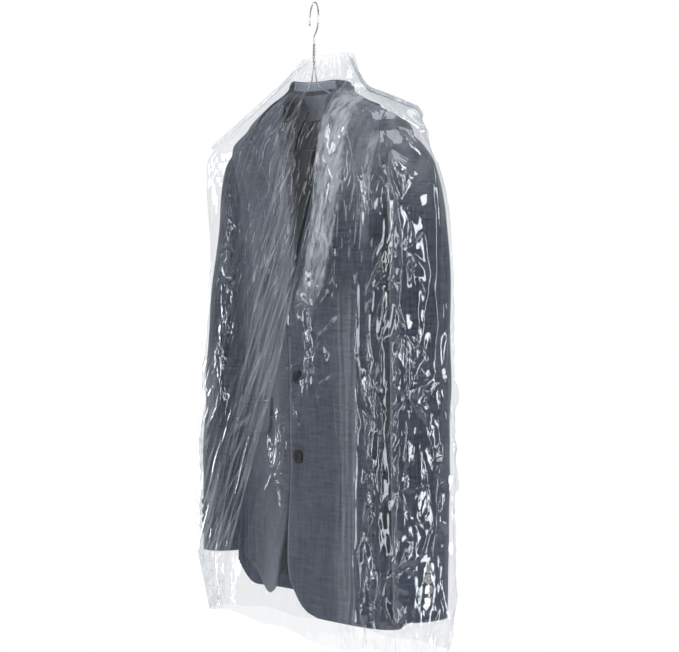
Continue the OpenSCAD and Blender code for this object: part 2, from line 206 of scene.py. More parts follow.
class Nodes:
    """Short calls for building one material's node tree."""

    def __init__(self, name):
        self.mat = bpy.data.materials.new(name)
        self.mat.use_nodes = True
        self.tree = self.mat.node_tree
        self.shader = self.tree.nodes["Principled BSDF"]
        self.output = self.tree.nodes["Material Output"]
        self.place = self.add("ShaderNodeTexCoord").outputs["Object"]

    def add(self, kind, **settings):
        node = self.tree.nodes.new(kind)
        for key, value in settings.items():
            setattr(node, key, value)
        return node

    def link(self, source, target):
        self.tree.links.new(source, target)

    def put(self, socket, value):
        """Sets one of the shader's sockets to a number or colour, or links a node's result into it."""
        target = self.shader.inputs[socket]
        if isinstance(value, bpy.types.NodeSocket):
            self.link(value, target)
        else:
            target.default_value = value

    def scaled(self, scale):
        node = self.add("ShaderNodeMapping")
        node.inputs["Scale"].default_value = scale
        self.link(self.place, node.inputs["Vector"])
        return node.outputs["Vector"]

    def leaning(self, scale, turn):
        """Coordinates turned about Y first and then scaled, so stretched noise leans by that angle."""
        node = self.add("ShaderNodeMapping", vector_type="TEXTURE")
        node.inputs["Scale"].default_value = tuple(1 / s for s in scale)
        node.inputs["Rotation"].default_value = (0, turn, 0)
        self.link(self.place, node.inputs["Vector"])
        return node.outputs["Vector"]

    def window(self, value, start, end):
        """Rises smoothly from 0 at start to 1 at end; start may be the larger."""
        node = self.add("ShaderNodeMapRange", interpolation_type="SMOOTHSTEP")
        self.link(value, node.inputs["Value"])
        node.inputs["From Min"].default_value = min(start, end)
        node.inputs["From Max"].default_value = max(start, end)
        node.inputs["To Min"].default_value = 0.0 if start < end else 1.0
        node.inputs["To Max"].default_value = 1.0 if start < end else 0.0
        return node.outputs["Result"]

    def within(self, value, start, full, fading, end):
        """Rises smoothly from 0 at start to 1 at full, and falls from fading to 0 at end."""
        return self.times(self.window(value, start, full), self.window(value, end, fading))

    def graph(self, value, *points):
        """A straight-line graph through (value, result) pairs, for results between -0.5 and 0.5."""
        low, high = points[0][0], points[-1][0]
        node = self.add("ShaderNodeMapRange")
        self.link(value, node.inputs["Value"])
        node.inputs["From Min"].default_value = low
        node.inputs["From Max"].default_value = high
        stops = [((at - low) / (high - low), result + 0.5) for at, result in points]
        return self.minus(self.ramp(node.outputs["Result"], *stops), 0.5)

    def thin(self, x, middle):
        """A thin line where x meets the middle."""
        return self.window(self.maths("ABSOLUTE", self.minus(x, middle)), 0.0035, 0.0008)

    def near_buttons(self, x, z):
        """1 over the front buttons, fading to 0 about 30 mm away, and a little to the viewer's side."""
        aside = 0.007
        low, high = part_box("front_buttons")
        radius = (high[0] - low[0]) / 2
        middle, apart = (low[2] + high[2]) / 2, (high[2] - low[2]) / 2 - radius
        rise = self.minus(self.maths("ABSOLUTE", self.minus(z, middle)), apart)
        run = self.minus(x, low[0] + radius + aside)
        gap = self.plus(self.times(rise, rise), self.times(run, run))
        return self.window(self.maths("SQRT", gap), 0.030, 0.013)

    def facets(self, vector):
        """Flat facets that meet in straight creases: the distance to the nearest cell edge."""
        node = self.add("ShaderNodeTexVoronoi", feature="DISTANCE_TO_EDGE")
        node.inputs["Scale"].default_value = 1.0
        self.link(vector, node.inputs["Vector"])
        return node.outputs["Distance"]

    def noise(self, vector, scale, detail=3.0, roughness=0.55, distortion=0.0):
        node = self.add("ShaderNodeTexNoise")
        node.inputs["Scale"].default_value = scale
        node.inputs["Detail"].default_value = detail
        node.inputs["Roughness"].default_value = roughness
        node.inputs["Distortion"].default_value = distortion
        self.link(vector, node.inputs["Vector"])
        return node.outputs["Fac"]

    def ramp(self, value, *stops):
        node = self.add("ShaderNodeValToRGB")
        band = node.color_ramp
        while len(band.elements) < len(stops):
            band.elements.new(0.5)
        for element, (at, colour) in zip(band.elements, stops):
            element.position = at
            element.color = (*colour, 1) if hasattr(colour, "__len__") else (colour, colour, colour, 1)
        self.link(value, node.inputs["Fac"])
        return node.outputs["Color"]

    def maths(self, operation, a, b=0.0, clamp=False):
        node = self.add("ShaderNodeMath", operation=operation, use_clamp=clamp)
        for socket, value in zip(node.inputs, (a, b)):
            if isinstance(value, (int, float)):
                socket.default_value = value
            else:
                self.link(value, socket)
        return node.outputs[0]

    def times(self, *values):
        """The product of two or more sockets and numbers."""
        product = values[0]
        for value in values[1:]:
            product = self.maths("MULTIPLY", product, value)
        return product

    def plus(self, *values):
        """The sum of two or more sockets and numbers."""
        total = values[0]
        for value in values[1:]:
            total = self.maths("ADD", total, value)
        return total

    def minus(self, a, b):
        return self.maths("SUBTRACT", a, b)

    def mix(self, share, first, second):
        """Two shaders mixed: none of the second where the share is 0."""
        node = self.add("ShaderNodeMixShader")
        for socket, source in zip(node.inputs, (share, first, second)):
            self.link(source, socket)
        return node.outputs[0]

    def bump(self, height, strength, distance):
        node = self.add("ShaderNodeBump")
        node.inputs["Strength"].default_value = strength
        node.inputs["Distance"].default_value = distance
        self.link(height, node.inputs["Height"])
        return node.outputs["Normal"]


def cloth_material(name, dark, light, roughness=0.85, pitch=0.0024):
    """A worsted weave: two crossed thread waves, a slub along the yarn and slow shade drift."""
    n = Nodes(name)
    warp = n.add("ShaderNodeTexWave", wave_type="BANDS", bands_direction="X")
    weft = n.add("ShaderNodeTexWave", wave_type="BANDS", bands_direction="Z")
    radians_in_unit = 20
    for wave in (warp, weft):
        wave.inputs["Scale"].default_value = TAU / (radians_in_unit * pitch)
        wave.inputs["Distortion"].default_value = 0.6
        wave.inputs["Detail"].default_value = 1.0
        n.link(n.place, wave.inputs["Vector"])
    weave = n.times(warp.outputs["Fac"], weft.outputs["Fac"])
    slub = n.noise(n.scaled((360, 360, 34)), 1.0, 2.0)
    cross = n.noise(n.scaled((34, 34, 360)), 1.0, 2.0)
    drift = n.noise(n.place, 9.0, 2.0)
    mottle = n.plus(n.times(slub, 0.5), n.times(cross, 0.5))
    shade = n.plus(n.times(weave, 0.08), n.times(mottle, 0.92), n.times(n.minus(drift, 0.5), 0.25))
    n.put("Base Color", n.ramp(shade, (0.31, dark), (0.65, light)))
    n.put("Roughness", roughness)
    n.put("Sheen Weight", 0.25)
    n.put("Sheen Roughness", 0.5)
    n.put("Specular IOR Level", 0.25)
    n.put("Normal", n.bump(shade, 0.35, 0.0006))
    return n.mat


def lining_material():
    """Satin lining with fine vertical threads."""
    n = Nodes("lining_satin")
    thread = n.noise(n.scaled((700, 700, 25)), 1.0, 2.0)
    n.put("Base Color", n.ramp(thread, (0.3, (0.012, 0.013, 0.017)), (0.7, (0.030, 0.031, 0.038))))
    n.put("Roughness", n.plus(n.times(thread, 0.2), 0.32))
    n.put("Normal", n.bump(thread, 0.2, 0.0004))
    return n.mat


def button_material():
    """Polished dark horn with faint brown streaks."""
    n = Nodes("button_horn")
    streak = n.noise(n.scaled((160, 60, 60)), 1.0, 4.0, 0.6, 1.5)
    n.put("Base Color", n.ramp(streak, (0.35, (0.0015, 0.0015, 0.0018)), (0.75, (0.009, 0.007, 0.006))))
    n.put("Roughness", n.plus(n.times(streak, 0.12), 0.10))
    n.put("Specular IOR Level", 0.45)
    return n.mat


def wire_material():
    """Galvanised wire: drawn along its length, with small dull patches."""
    n = Nodes("galvanised_wire")
    patch = n.noise(n.place, 260.0, 4.0, 0.65)
    n.put("Base Color", n.ramp(patch, (0.3, (0.20, 0.21, 0.22)), (0.7, (0.46, 0.47, 0.49))))
    n.put("Metallic", 1.0)
    n.put("Roughness", n.plus(n.times(patch, 0.3), 0.14))
    n.put("Normal", n.bump(patch, 0.15, 0.0002))
    return n.mat


def film_painted_sheen(n, fold):
    """Painted reflections and highlights on the film, laid on as milky white, with the x and z sockets that
    the places are read from.

    On the front these are the slanting swathe over the right front, a painted reflection band beside the
    left lapel, the upright band on the left front, three taut lines, the far sleeve and a stripe over the
    chest. On the front and the back alike it is also a painted highlight over the wearer's left shoulder.
    front and the back alike it is also the wearer's left shoulder.
    """
    split = n.add("ShaderNodeSeparateXYZ")
    n.link(n.place, split.inputs[0])
    x, y, z = split.outputs
    front = n.window(y, 0.01, -0.01)
    outer = n.graph(z, (-0.95, -0.225), (-0.12, 0.020))
    inner = n.graph(z, (-0.95, -0.210), (-0.43, 0.040), (-0.12, 0.010))
    lapel = n.graph(z, (-0.50, 0.018), (-0.40, 0.064), (-0.30, 0.086), (-0.12, 0.092))

    streak = n.noise(n.leaning((120, 120, 4), SLANT), 1.0, 3.0, 0.6, 0.0)
    slip = n.facets(n.leaning((38, 38, 3), SLANT * 1.35))
    strand = n.plus(n.window(fold, 0.10, 0.0), n.window(slip, 0.05, 0.0))
    streak = n.plus(n.times(n.window(streak, 0.46, 0.68), 0.9), n.times(strand, 2.3))
    swathe = n.times(n.window(n.minus(x, outer), -0.06, 0.03), n.window(n.minus(x, inner), 0.006, -0.004))
    swathe = n.times(swathe, streak)

    ragged = n.times(n.minus(n.noise(n.place, 38.0, 2.0), 0.5), 0.030)
    across = n.plus(n.minus(x, lapel), ragged)
    crinkle = n.noise(n.leaning((110, 110, 26), 0.35), 1.0, 4.0, 0.6, 0.4)
    sheen = n.times(n.within(across, -0.003, 0.004, 0.046, 0.060), n.within(z, -0.49, -0.41, -0.17, -0.13))
    sheen = n.times(sheen, n.window(crinkle, 0.25, 0.62))

    thread = n.noise(n.leaning((160, 160, 5), 0.0), 1.0, 4.0, 0.6, 0.2)
    band = n.times(n.within(x, 0.118, 0.150, 0.1775, 0.1795), n.window(z, -0.40, -0.50))
    band = n.times(band, n.window(thread, 0.30, 0.70))

    upper, lower = n.window(z, -0.47, -0.43), n.window(z, -0.43, -0.47)
    taut = n.plus(n.times(n.thin(x, lapel), upper), n.times(n.thin(x, inner), lower))
    taut = n.plus(taut, n.times(n.thin(x, outer), 0.5))

    far_sleeve = n.times(n.window(x, -0.175, -0.215), n.window(z, -0.46, -0.58), streak)
    # Each of these is a painted reflection or highlight, laid on the film as milky white.
    whole = n.plus(swathe, n.times(band, 2.2), n.times(taut, 1.9), n.times(sheen, 5.2))
    whole = n.plus(whole, n.times(far_sleeve, 1.1))

    wisp = n.noise(n.leaning((48, 48, 9), 0.45), 1.0, 4.0, 0.6, 0.5)
    shoulder = n.times(n.window(z, -0.36, -0.235), n.window(x, 0.080, 0.125))
    shoulder = n.times(shoulder, n.plus(n.times(n.window(wisp, 0.34, 0.66), 0.75), 0.35))
    stripe = n.times(n.within(x, 0.186, 0.190, 0.202, 0.206), n.within(z, -0.40, -0.33, -0.235, -0.21))
    stripe = n.times(stripe, n.window(crinkle, 0.25, 0.55), front)
    high_up = n.plus(n.times(shoulder, 2.5), n.times(stripe, 2.4))
    return n.plus(n.times(whole, front), high_up), x, z


def film_material(name, haze, rough):
    """Thin clear film: see-through, a mirror that strengthens at a glance, creased, slightly milky, with
    painted reflections and highlights laid on as milky white in places.
    """
    n = Nodes(name)
    fold = n.facets(n.leaning((75, 75, 5), SLANT))
    # Painted reflections and highlights in set places on the film, standing in for what it would mirror.
    painted_sheen, x, z = film_painted_sheen(n, fold)
    drift = n.noise(n.leaning((26, 26, 5), SLANT), 1.0, 4.0, 0.6, 0.6)
    milk_and_painted_sheen = n.times(n.maths("SUBTRACT", drift, 0.46, True), haze * 3)
    # The film's own slight haze, plus the painted reflections and highlights.
    milk_and_painted_sheen = n.plus(milk_and_painted_sheen, haze * 0.3, n.times(painted_sheen, haze * 2.7))
    milk_and_painted_sheen = n.times(milk_and_painted_sheen, n.minus(1.0, n.times(n.near_buttons(x, z), 0.85)))
    glance = n.add("ShaderNodeLayerWeight")
    glance.inputs["Blend"].default_value = 0.5
    rise = n.maths("POWER", glance.outputs["Facing"], 5.0)
    cover = n.maths("ADD", milk_and_painted_sheen, n.times(rise, 0.12), True)

    slanted = n.times(fold, n.times(n.window(x, 0.10, 0.02), 0.0009))
    upright = n.times(n.facets(n.leaning((52, 52, 7), 0.06)), 0.0007)
    strips = n.maths("MAXIMUM", n.window(x, 0.252, 0.266), n.within(x, 0.188, 0.198, 0.206, 0.218))
    patches = n.times(n.window(n.noise(n.place, 11.0, 2.0), 0.58, 0.68), 0.7)
    crush = n.maths("MAXIMUM", n.times(strips, n.window(z, -0.38, -0.64)), patches)
    large = n.times(n.facets(n.leaning((58, 58, 26), 0.3)), n.times(crush, 0.0034))
    normal = n.bump(n.plus(slanted, upright, large), 1.0, 1.0)

    n.put("Base Color", (0.74, 0.80, 0.86, 1))
    n.put("Roughness", 0.35)
    n.put("Normal", normal)
    clear = n.add("ShaderNodeBsdfTransparent")
    clear.inputs["Color"].default_value = (0.950, 0.955, 0.962, 1)
    veil = n.mix(cover, clear.outputs[0], n.shader.outputs[0])
    mirror = n.add("ShaderNodeBsdfAnisotropic", distribution="GGX")
    mirror.inputs["Color"].default_value = (0.90, 0.95, 1.0, 1)
    mirror.inputs["Roughness"].default_value = rough
    n.link(normal, mirror.inputs["Normal"])
    share = n.maths("ADD", n.times(rise, 0.5), 0.058, True)
    n.link(n.mix(share, veil, mirror.outputs[0]), n.output.inputs["Surface"])
    return n.mat


# ---------------------------------------------------------------- curves, noise and grids
def profile(*keys):
    """A smooth curve through (level, value) pairs that doesn't overshoot."""
    at, value = np.array(sorted(keys), float).T
    step = np.diff(at)
    slope = np.diff(value) / step
    lean = np.zeros(len(value))
    both = slope[:-1] * slope[1:]
    lean[1:-1] = np.where(both > 0, 2 * both / np.where(both > 0, slope[:-1] + slope[1:], 1), 0)
    lean[0], lean[-1] = slope[0], slope[-1]

    def curve(q):
        q = np.clip(q, at[0], at[-1])
        i = np.clip(np.searchsorted(at, q) - 1, 0, len(step) - 1)
        t = (q - at[i]) / step[i]
        return (
            (1 + 2 * t) * (1 - t) ** 2 * value[i]
            + t * (1 - t) ** 2 * step[i] * lean[i]
            + t * t * (3 - 2 * t) * value[i + 1]
            + t * t * (t - 1) * step[i] * lean[i + 1]
        )

    return curve


def smooth(t):
    t = np.clip(t, 0, 1)
    return t * t * (3 - 2 * t)


def make_noise(seed):
    """Gradient noise in three dimensions, from about -1 to 1, over arrays of points."""
    rng = np.random.default_rng(seed)
    table = rng.permutation(256)
    table = np.concatenate([table, table])
    lean = rng.normal(size=(256, 3))
    lean /= np.linalg.norm(lean, axis=1)[:, None]

    def noise(p):
        cell = np.floor(p).astype(int)
        part = p - cell
        ease = part**3 * (part * (part * 6 - 15) + 10)
        total = 0.0
        for dx in (0, 1):
            for dy in (0, 1):
                for dz in (0, 1):
                    corner = np.array((dx, dy, dz))
                    c = (cell + corner) & 255
                    g = lean[table[table[table[c[..., 0]] + c[..., 1]] + c[..., 2]]]
                    weight = np.prod(np.where(corner, ease, 1 - ease), axis=-1)
                    total = total + weight * np.sum(g * (part - corner), axis=-1)
        return total * 1.6

    return noise


def squareness(a, n):
    return (np.abs(np.sin(a)) ** n + np.abs(np.cos(a)) ** n) ** (-1 / n)


def angle_at(x, w, n):
    u = np.clip(x / w, -0.9999, 0.9999)
    return np.arctan2(u, (1 - np.abs(u) ** n) ** (1 / n))


def grid_normals(points, closed=False):
    """Outward unit normals of a grid whose rows run down and whose columns run from -X to +X in front."""
    if closed:
        across = np.roll(points, -1, axis=1) - np.roll(points, 1, axis=1)
    else:
        across = np.gradient(points, axis=1)
    down = np.gradient(points, axis=0)
    normal = np.cross(down, across)
    return normal / np.maximum(np.linalg.norm(normal, axis=2), 1e-9)[..., None]


def grid_object(name, points, closed=False, thickness=0.0, offset=-1.0):
    """A mesh piece over a grid of points, given a thickness inwards."""
    rows, cols = points.shape[:2]
    last = cols if closed else cols - 1
    faces = []
    for r in range(rows - 1):
        for c in range(last):
            d = (c + 1) % cols
            faces.append((r * cols + c, (r + 1) * cols + c, (r + 1) * cols + d, r * cols + d))
    mesh = bpy.data.meshes.new(name)
    mesh.from_pydata(points.reshape(-1, 3).tolist(), [], faces)
    mesh.polygons.foreach_set("use_smooth", [True] * len(mesh.polygons))
    ob = bpy.data.objects.new(name, mesh)
    bpy.context.collection.objects.link(ob)
    if thickness:
        solid = ob.modifiers.new("thickness", "SOLIDIFY")
        solid.thickness = thickness
        solid.offset = offset
    return ob


def finish_piece(ob, material, slot, body, *nodes):
    ob.data.materials.append(material)
    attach(ob, body)
    if nodes:
        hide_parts(*nodes)
    return ob


# ---------------------------------------------------------------- body of the jacket
BODY_N = 3.0
left_w = profile(
    (HEM_Z, 0.209), (-0.700, 0.207), (-0.430, 0.206), (-0.300, 0.207), (-0.250, 0.211), (-0.215, 0.214),
    (-0.202, 0.208), (-0.187, 0.181), (-0.168, 0.136), (-0.1526, 0.096), (-0.140, 0.078), (NECK_Z, 0.067)
)
right_w = profile(
    (HEM_Z, 0.199), (-0.430, 0.196), (-0.300, 0.197), (-0.250, 0.205), (-0.215, 0.214), (-0.202, 0.211),
    (-0.182, 0.174), (-0.168, 0.145), (-0.151, 0.108), (-0.138, 0.074), (NECK_Z, 0.048)
)
body_front = profile(
    (HEM_Z, 0.045), (-0.700, 0.046), (-0.560, 0.047), (-0.430, 0.052), (CHEST_Z, 0.052),
    (SHOULDER_Z, 0.045), (-0.150, 0.034), (-0.138, 0.026), (NECK_Z, 0.019)
)
body_back = profile(
    (HEM_Z, 0.043), (-0.700, 0.045), (-0.560, 0.046), (-0.430, 0.050), (CHEST_Z, 0.049),
    (SHOULDER_Z, 0.045), (-0.150, 0.042), (NECK_Z, 0.034)
)
roof_lift = profile((-0.225, 0.0), (SHOULDER_Z, 1.0), (NECK_Z, 1.0))
# The right front hangs further back than the left: how far, from which X and over what width
slack = profile(
    (HEM_Z, 0.046), (-0.450, 0.043), (-0.300, 0.036), (-0.240, 0.026), (-0.200, 0.018), (NECK_Z, 0.006)
)
slack_from = profile(
    (HEM_Z, 0.010), (BREAK_Z, 0.010), (-0.400, 0.060), (-0.300, 0.070), (NECK_Z, 0.070)
)
cloth_noise = make_noise(11)


def half_width(z, on_right):
    return np.where(on_right, right_w(z), left_w(z))


def hem_level(a, x, z):
    """The left front's hem hangs a little lower, and the hem rises round to the right side."""
    low = smooth((-0.78 - z) / 0.13) * smooth((np.cos(a) + 0.6) / 0.8)
    return z + low * (0.042 * smooth((-0.115 - x) / 0.085) - 0.013 * smooth((x + 0.02) / 0.07))


def body_point(a, z, off=0.0):
    """A point of the jacket's body at an angle from the front and a level, off metres outside it."""
    ring = squareness(a, BODY_N)
    x = (half_width(z, np.sin(a) < 0) + off) * np.sin(a) * ring
    depth = np.where(np.cos(a) > 0, body_front(z), body_back(z)) + off
    y = -depth * np.cos(a) * ring
    y = y + slack(z) * smooth((slack_from(z) - x) / 0.17) * np.clip(np.cos(a) * 1.6, 0, 1)
    sag = cloth_noise(np.stack([x * 7, y * 7 + 3, z * 3.2], axis=-1)) * 0.0024
    crease = cloth_noise(np.stack([x * 22 + z * 9, y * 22, z * 12 + 5], axis=-1)) * 0.0007
    ease = smooth((NECK_Z - z) / 0.12)
    dip = 0.010 * smooth(x / 0.06) * smooth((z + 0.155) / 0.03)
    y = y + (sag + crease) * ease * np.sign(-np.cos(a)) * np.abs(np.cos(a)) ** 0.3
    return np.stack([x, y, hem_level(a, x, z) - dip + off * roof_lift(z)], axis=-1)


def body_angle(x, z):
    return angle_at(x, half_width(z, x < 0), BODY_N)


side_front = profile(
    (HEM_Z, 62), (ARMHOLE_Z, 62), (CHEST_Z, 69), (-0.225, 84), (SHOULDER_Z, 90), (NECK_Z, 90)
)
side_back = profile(
    (HEM_Z, 112), (ARMHOLE_Z, 112), (CHEST_Z, 107), (-0.225, 96), (SHOULDER_Z, 90), (NECK_Z, 90)
)
left_edge = profile(
    (HEM_Z, 0.066), (-0.897, 0.034), (-0.880, 0.012), (-0.863, -0.001), (-0.840, -0.006), (-0.800, -0.005),
    (-0.750, 0.000), (-0.700, CLOSING_X), (BREAK_Z, CLOSING_X), (-0.475, 0.006), (-0.435, 0.017),
    (-0.376, 0.038), (-0.300, 0.065), (CHEST_Z, 0.075), (-0.200, 0.076), (-0.150, 0.070), (NECK_Z, 0.062)
)
right_edge = profile(
    (HEM_Z, -0.104), (-0.896, -0.078), (-0.885, -0.060), (-0.865, -0.046), (-0.845, -0.037),
    (-0.810, -0.020), (-0.760, -0.004), (-0.700, CLOSING_X), (BREAK_Z, CLOSING_X), (-0.420, 0.007),
    (-0.376, 0.008), (-0.328, 0.003), (-0.242, -0.020), (-0.190, -0.036), (-0.150, -0.043), (NECK_Z, -0.044)
)


def levels(top, bottom, pitch=0.005):
    count = max(2, int(round((top - bottom) / pitch)) + 1)
    return np.linspace(top, bottom, count)


def panel(name, low, high, zs, cols, off=0.0, thickness=CLOTH_T, surface=body_point, turn=1):
    """A cloth panel between two edges, each an angle for every level; turn is -1 on the mirrored side."""
    t = np.linspace(0, 1, cols)[None, :]
    a = low(zs)[:, None] * (1 - t) + high(zs)[:, None] * t
    z = np.broadcast_to(zs[:, None], a.shape)
    return grid_object(name, surface(a, z, off)[:, ::turn], thickness=thickness)


def degrees(curve, flip=False):
    return lambda z: np.radians(-curve(z) if flip else curve(z))


def make_body(cloth):
    zs = np.concatenate([levels(NECK_Z, -0.23, 0.0025), levels(-0.234, HEM_Z)])
    low = levels(CHEST_Z, HEM_Z)
    left = panel("left_front_cloth", lambda z: body_angle(left_edge(z), z), degrees(side_front),
                 zs, 44, 0.0006)
    right = panel("right_front_cloth", degrees(side_front, True), lambda z: body_angle(right_edge(z), z),
                  zs, 44)
    finish_piece(left, cloth, "suit_cloth", "jacket", "left_front")
    finish_piece(right, cloth, "suit_cloth", "jacket", "right_front")
    for side, turn in (("left", 1), ("right", -1)):
        ob = panel(f"{side}_side_cloth", lambda z: turn * np.radians(side_front(z)),
                   lambda z: turn * np.radians(side_back(z)), low, 14, turn=turn)
        finish_piece(ob, cloth, "suit_cloth", "jacket", f"{side}_side_panel")
        ob = panel(f"{side}_back_cloth", lambda z: turn * np.radians(side_back(z)),
                   lambda z: z * 0 + turn * math.pi, zs, 34, turn=turn)
        finish_piece(ob, cloth, "suit_cloth", "jacket", f"{side}_back")


LAPEL_TIP_Z = -0.222
LAPEL_TOP_Z = -0.190
lapel_reach = profile(
    (BREAK_Z, 0.004), (-0.480, 0.024), (-0.430, 0.044), (-0.330, 0.066), (-0.260, 0.076),
    (LAPEL_TIP_Z, 0.080), (-0.212, 0.069), (-0.198, 0.050), (LAPEL_TOP_Z, 0.040)
)
# How far the lapel stands off the front, from inside the roll line to the outer edge
lapel_stand = profile(
    (-0.12, -0.005), (-0.05, 0.0005), (0.0, 0.0045), (0.06, 0.0065), (0.3, 0.0052), (1.0, 0.0030)
)


def make_lapel(side, edge, cloth, turn):
    zs = levels(LAPEL_TOP_Z, BREAK_Z, 0.004)
    t = np.concatenate([np.linspace(-0.10, 0.06, 8), np.linspace(0.10, 1.0, 26)])[None, :]
    z = np.broadcast_to(zs[:, None], (len(zs), t.shape[1]))
    fade = smooth((zs - BREAK_Z) / 0.10)[:, None]
    x = edge(z) + turn * t * lapel_reach(z)
    x = np.where(t < 0, edge(z) + turn * t * 0.05, x)
    off = 0.0015 + (lapel_stand(t) - 0.0015) * (0.35 + 0.65 * fade)
    points = body_point(body_angle(x, z), z, off)[:, ::turn]
    ob = grid_object(f"{side}_lapel_cloth", points, thickness=0.0018)
    return finish_piece(ob, cloth, "suit_cloth", "jacket", f"{side}_lapel")


fall_edge = profile(
    (0, -0.176), (60, -0.166), (90, -0.150), (118, -0.166), (134, -0.187), (146, -0.199)
)


# How far round the neck the collar's rolled top reaches from the back, in degrees
COLLAR_REACH = 112


def make_collar(cloth, facing):
    """The fall leaves the top of the stand, rolls over and lies round the neck to the notches."""
    count = 90
    side = np.linspace(-1, 1, count)[None, :]
    turned = np.linspace(0, 1, 22)[:, None]
    reach = COLLAR_REACH + 34 * smooth(turned)
    a = reach * side
    drop = fall_edge(np.abs(a))
    z = NECK_Z + (drop - NECK_Z) * turned + np.zeros_like(a)
    stand = 0.0022 + 0.004 * np.exp(-turned * 9)
    fall = body_point(np.pi + np.radians(a), z, stand)
    lift = np.array([0.0125, 0.0150, 0.0125, 0.0065])[:, None]
    out = np.array([-0.0035, 0.0000, 0.0035, 0.0058])[:, None]
    round_neck = np.pi + np.radians(COLLAR_REACH * side) + np.zeros_like(lift)
    top = neck_ring(round_neck, lift + np.zeros_like(side), out)
    points = np.concatenate([top, fall], axis=0)
    ob = grid_object("collar_fall_cloth", points, thickness=0.0020)
    finish_piece(ob, cloth, "suit_cloth", "jacket", "collar_fall")
    rise = np.linspace(0.013, 0.0, 6)[:, None]
    a = np.radians(np.linspace(62, 298, 80))[None, :]
    points = neck_ring(a + np.zeros_like(rise), rise + np.zeros_like(a), -0.004)
    ob = grid_object("collar_stand_cloth", points, thickness=0.0018)
    finish_piece(ob, facing, "facing_cloth", "jacket", "collar_stand")


def neck_ring(a, rise, out):
    """A ring round the neck opening, which sits off centre and is lower on the left."""
    ring = squareness(a, BODY_N)
    x = 0.0095 + (0.0575 - rise * 0.2 + out) * np.sin(a) * ring
    y = -(np.where(np.cos(a) > 0, 0.018, 0.033) - rise * 0.15 + out) * np.cos(a) * ring
    return np.stack([x, y, NECK_Z + rise - 0.010 * smooth(x / 0.06)], axis=-1)


# ---------------------------------------------------------------- sleeves
SLEEVE_N = 2.3
SLEEVE_TOP_Z = -0.212
SLEEVE_END_Z = -0.905
LEFT_SLEEVE = {
    "x": profile(
        (SLEEVE_END_Z, 0.249), (ARMHOLE_Z, 0.249), (-0.330, 0.243), (CHEST_Z, 0.232), (-0.235, 0.222),
        (SLEEVE_TOP_Z, 0.211)
    ),
    "y": profile(
        (SLEEVE_END_Z, -0.003), (SLEEVE_TOP_Z, -0.003)
    ),
    "rx": profile(
        (SLEEVE_END_Z, 0.027), (-0.700, 0.031), (ARMHOLE_Z, 0.032), (-0.330, 0.030), (CHEST_Z, 0.024),
        (-0.235, 0.016), (SLEEVE_TOP_Z, 0.004)
    ),
    "ry": profile(
        (SLEEVE_END_Z, 0.042), (ARMHOLE_Z, 0.047), (-0.330, 0.045), (CHEST_Z, 0.038), (-0.235, 0.028),
        (SLEEVE_TOP_Z, 0.010)
    ),
}
RIGHT_SLEEVE = {
    "x": profile(
        (SLEEVE_END_Z, 0.2455), (-0.760, 0.2455), (-0.600, 0.241), (ARMHOLE_Z, 0.233), (-0.330, 0.227),
        (CHEST_Z, 0.221), (SLEEVE_TOP_Z, 0.210)
    ),
    "y": profile(
        (SLEEVE_END_Z, 0.004), (-0.600, 0.004), (ARMHOLE_Z, 0.010), (-0.330, 0.017), (CHEST_Z, 0.015),
        (SLEEVE_TOP_Z, 0.004)
    ),
    "rx": profile(
        (SLEEVE_END_Z, 0.0305), (-0.760, 0.0305), (-0.600, 0.027), (-0.330, 0.026), (CHEST_Z, 0.022),
        (-0.235, 0.016), (SLEEVE_TOP_Z, 0.004)
    ),
    "ry": profile(
        (SLEEVE_END_Z, 0.034), (ARMHOLE_Z, 0.037), (-0.330, 0.032), (CHEST_Z, 0.029), (-0.235, 0.023),
        (SLEEVE_TOP_Z, 0.009)
    ),
}
sleeve_noise = make_noise(23)


def make_sleeve_surface(turn, shape):
    def surface(a, z, off=0.0):
        ring = squareness(a, SLEEVE_N)
        x = (shape["rx"](z) + off) * np.sin(a) * ring + shape["x"](z)
        y = -(shape["ry"](z) + off) * np.cos(a) * ring + shape["y"](z)
        elbow = np.exp(-(((z + 0.60) / 0.10) ** 2))
        fold = sleeve_noise(np.stack([x * 9 + 2 * turn, y * 9, z * 16 + x * 8], axis=-1))
        wave = sleeve_noise(np.stack([x * 8 - 5 * turn, y * 8, z * 3], axis=-1))
        puff = fold * (0.0008 + 0.0030 * elbow) + wave * 0.0024
        puff = puff * smooth((-0.22 - z) / 0.08)
        outward = np.stack([np.sin(a) * ring, -np.cos(a) * ring], axis=-1)
        outer = smooth((np.sin(a) + 0.5) / 0.6)
        x = x + outward[..., 0] * puff * outer
        y = y + outward[..., 1] * puff * outer
        return np.stack([turn * x, y, z + np.zeros_like(x)], axis=-1)

    return surface


sleeve_wrap = profile((SLEEVE_END_Z, 20), (ARMHOLE_Z, 20), (-0.400, 86), (SLEEVE_TOP_Z, 86))


def make_sleeve(side, turn, cuff, shape, cloth, lining):
    surface = make_sleeve_surface(turn, shape)
    zs = np.concatenate([levels(SLEEVE_TOP_Z, -0.25, 0.002), levels(-0.254, cuff)])
    low = levels(ARMHOLE_Z + 0.034, cuff)
    upper = panel(f"{side}_upper_sleeve_cloth", lambda z: -np.radians(sleeve_wrap(z)),
                  lambda z: np.radians(180 + sleeve_wrap(z)), zs, 56, surface=surface, turn=turn)
    under = panel(f"{side}_under_sleeve_cloth", lambda z: z * 0 + np.radians(200),
                  lambda z: z * 0 + np.radians(340), low, 26, -0.0006, surface=surface, turn=turn)
    inside = levels(ARMHOLE_Z, cuff + 0.012, 0.01)
    a = np.radians(np.arange(0, 360, 8))[None, :] + np.zeros((len(inside), 1))
    z = inside[:, None] + np.zeros_like(a)
    liner = grid_object(f"{side}_sleeve_lining_cloth", surface(a, z, -0.0045), closed=True)
    finish_piece(upper, cloth, "suit_cloth", "jacket", f"{side}_upper_sleeve")
    finish_piece(under, cloth, "suit_cloth", "jacket", f"{side}_under_sleeve")
    finish_piece(liner, lining, "lining", "jacket", f"{side}_sleeve_lining")


